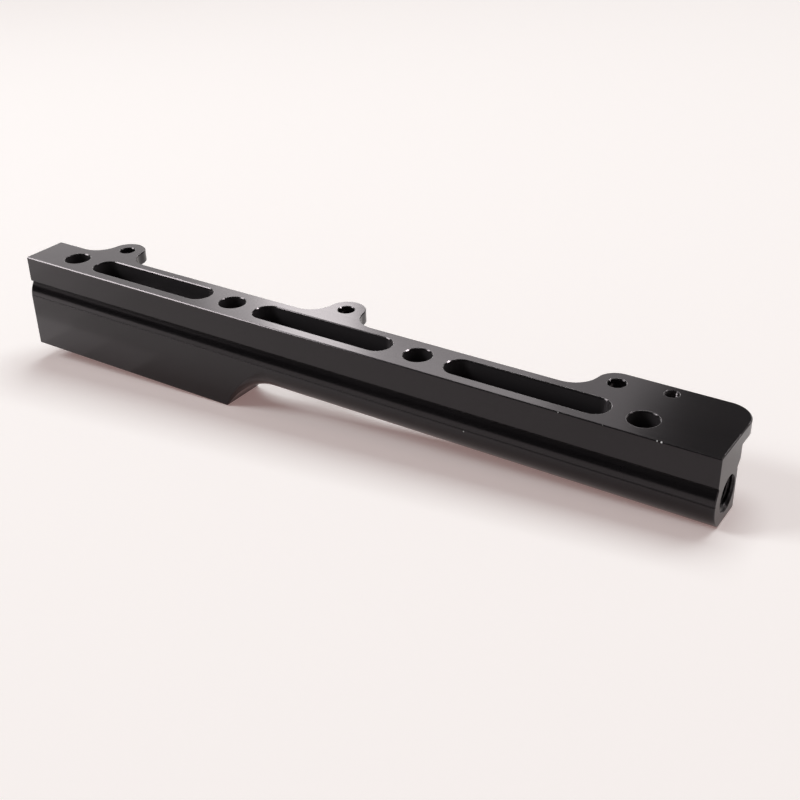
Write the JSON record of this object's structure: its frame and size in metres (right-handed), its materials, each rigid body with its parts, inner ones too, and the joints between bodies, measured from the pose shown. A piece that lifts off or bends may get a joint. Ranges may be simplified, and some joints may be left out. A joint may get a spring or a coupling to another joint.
{
  "type": "fuel rail",
  "caption": "Machined bar with a drilled fuel gallery, injector pockets, lightening slots, bolt ears, an end flange and a threaded port at each end.",
  "frame": {"origin": "centre of the first injector pocket on the injector face, at the end with the deep block", "axes": "+X along the rail towards the end flange, +Y across it towards the bolt ears, +Z out of the injector face"},
  "size_m": [0.3227, 0.038, 0.0423],
  "materials": {
    "anodised_black": "black anodised, satin, with fine milling marks"
  },
  "bodies": {
    "root": {"rail_body": "anodised_black"}
  },
  "joints": []
}
